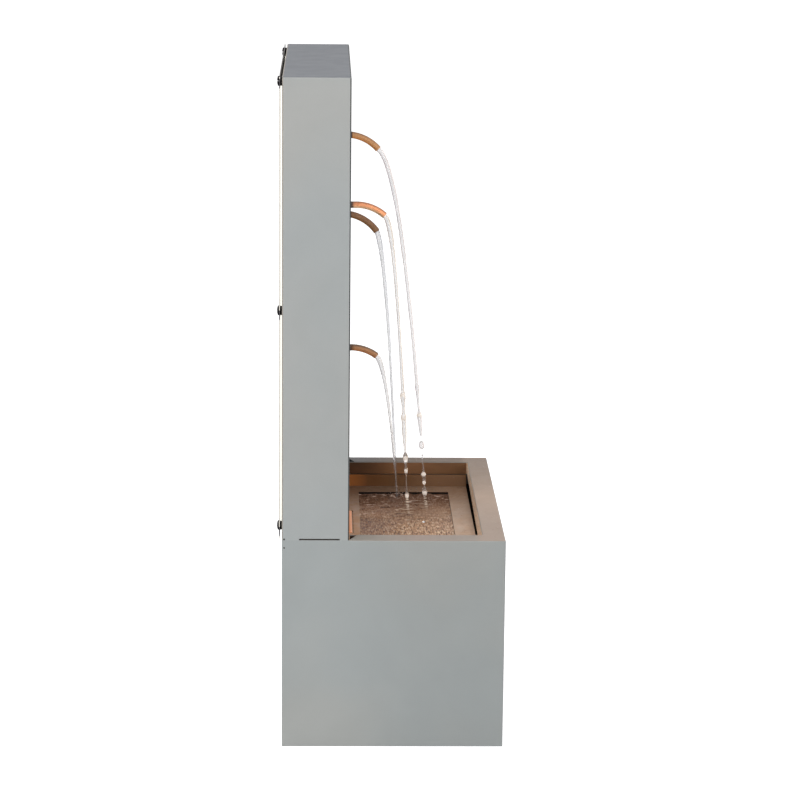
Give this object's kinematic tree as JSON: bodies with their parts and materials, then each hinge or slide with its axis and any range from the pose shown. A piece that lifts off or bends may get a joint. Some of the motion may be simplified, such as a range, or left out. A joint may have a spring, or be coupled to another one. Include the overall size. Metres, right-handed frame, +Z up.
{
  "type": "column water fountain",
  "caption": "Sheet-metal fountain: a flat tower on a box basin, bent copper spouts pouring through a lift-out splash tray, fed by a submersible pump.",
  "frame": {"origin": "centre of the basin's footprint, on the floor", "axes": "+X is the fountain's left-to-right width seen from its front, -Y is its front, where the spouts point, +Z is up"},
  "size_m": [0.406, 0.26, 0.768],
  "materials": {
    "basin_shell": "satin powder coat",
    "basin_floor": "satin powder coat",
    "tray_ledges": "satin powder coat",
    "tower_shell": "satin powder coat",
    "rear_panel": "satin powder coat, bare cut edges",
    "panel_screws": "black oxide",
    "panel_spacers": "matt",
    "panel_seals": "closed-cell foam",
    "clinch_nuts": "zinc plated",
    "splash_tray": "satin, wet",
    "spout_1": "drawn copper",
    "spout_2": "drawn copper",
    "spout_3": "drawn copper",
    "spout_4": "drawn copper",
    "spout_grommets": "matt",
    "light_housing": "anodised",
    "light_leds": "populated strip",
    "light_lens": "frosted",
    "light_screws": "stainless",
    "manifold": "moulded",
    "manifold_clips": "moulded",
    "branch_hoses": "clear vinyl",
    "riser_hose": "clear vinyl",
    "hose_clamps": "stainless",
    "pump_housing": "moulded",
    "volute_cover": "moulded",
    "pump_strainer": "moulded",
    "pump_rotor": "moulded over a ferrite magnet",
    "rotor_shaft": "ceramic",
    "shaft_bushes": "matt",
    "flow_dial": "moulded",
    "suction_feet": "matt",
    "cord_grommet": "matt",
    "water": "clear"
  },
  "bodies": {
    "stand": {"basin_shell": "basin_shell", "basin_floor": "basin_floor", "tray_ledges": "tray_ledges", "tower_shell": "tower_shell", "rear_panel": "rear_panel", "panel_screws": "panel_screws", "panel_spacers": "panel_spacers", "panel_seals": "panel_seals", "clinch_nuts": "clinch_nuts", "spout_grommets": "spout_grommets", "light_housing": "light_housing", "light_leds": "light_leds", "light_lens": "light_lens", "light_screws": "light_screws", "manifold": "manifold", "manifold_clips": "manifold_clips", "branch_hoses": "branch_hoses", "riser_hose": "riser_hose", "hose_clamps": "hose_clamps", "pump_housing": "pump_housing", "volute_cover": "volute_cover", "pump_strainer": "pump_strainer", "rotor_shaft": "rotor_shaft", "shaft_bushes": "shaft_bushes", "suction_feet": "suction_feet", "cord_grommet": "cord_grommet"},
    "tray": {"splash_tray": "splash_tray"},
    "spout_1": {"spout_1": "spout_1"},
    "spout_2": {"spout_2": "spout_2"},
    "spout_3": {"spout_3": "spout_3"},
    "spout_4": {"spout_4": "spout_4"},
    "rotor": {"pump_rotor": "pump_rotor"},
    "dial": {"flow_dial": "flow_dial"}
  },
  "joints": [
    {"name": "tray_lift", "type": "slide", "parent": "stand", "child": "tray", "axis": [0, 0, 1], "range_m": [0, 0.06]},
    {"name": "spout_1_swivel", "type": "hinge", "parent": "stand", "child": "spout_1", "pos_m": [0.1355, 0.051, 0.6645], "axis": [0, -0.9903, -0.1392], "range_deg": [-20, 20]},
    {"name": "spout_2_swivel", "type": "hinge", "parent": "stand", "child": "spout_2", "pos_m": [0.1245, 0.051, 0.58], "axis": [0, -1, 0], "range_deg": [-20, 20]},
    {"name": "spout_3_swivel", "type": "hinge", "parent": "stand", "child": "spout_3", "pos_m": [0.1355, 0.051, 0.567], "axis": [0, -0.9781, -0.2079], "range_deg": [-20, 20]},
    {"name": "spout_4_swivel", "type": "hinge", "parent": "stand", "child": "spout_4", "pos_m": [0.1245, 0.051, 0.4027], "axis": [0, -1, 0], "range_deg": [-20, 20]},
    {"name": "rotor_spin", "type": "hinge", "parent": "stand", "child": "rotor", "pos_m": [0.03, 0.08, 0.0335], "axis": [0, 1, 0], "continuous": true},
    {"name": "dial_turn", "type": "hinge", "parent": "stand", "child": "dial", "pos_m": [0.03, 0.04, 0.0335], "axis": [0, -1, 0], "range_deg": [0, 150]}
  ]
}
